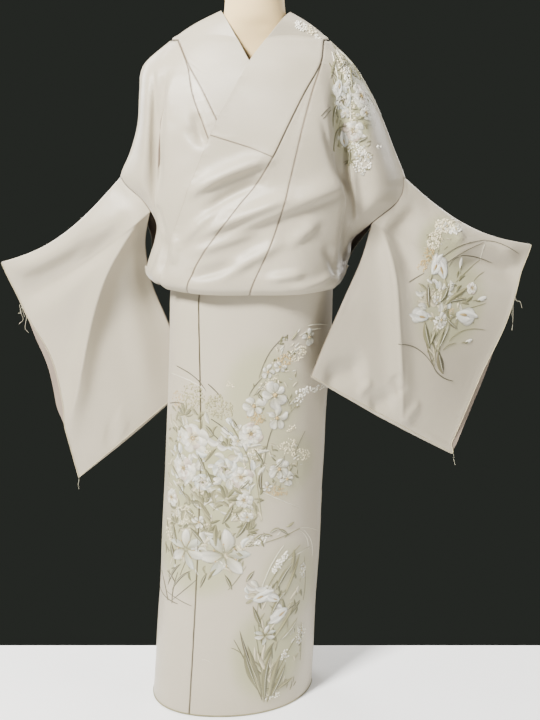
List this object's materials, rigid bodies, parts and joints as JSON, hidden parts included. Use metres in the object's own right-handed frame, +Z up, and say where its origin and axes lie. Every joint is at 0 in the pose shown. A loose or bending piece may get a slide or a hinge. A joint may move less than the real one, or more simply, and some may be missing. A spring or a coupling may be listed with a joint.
{
  "type": "homongi kimono on a limbless dress form",
  "caption": "Formal kimono with a wide collar opened flat, a bloused waist fold, a narrow wrapped skirt and held-out sleeves, standing on a limbless dress form with a post and a round foot.",
  "frame": {"origin": "middle of the outline, on the floor that the hem and the foot stand on", "axes": "+Z up, the front of the garment faces -Y, the wearer's left side is on +X"},
  "size_m": [1.0898, 0.2771, 1.491],
  "materials": {
    "silk": "soft satin crepe, pale silver beige",
    "linen": "smooth cream jersey over a firm torso",
    "steel": "satin dark grey"
  },
  "bodies": {
    "root": {"body_left": "silk", "body_right": "silk", "overlap_left": "silk", "overlap_right": "silk", "skirt_left": "silk", "skirt_right": "silk", "skirt_overlap_left": "silk", "skirt_overlap_right": "silk", "collar": "silk", "over_collar": "silk", "sleeve_left": "silk", "sleeve_right": "silk", "form": "linen", "post": "steel", "foot": "steel"}
  },
  "joints": []
}
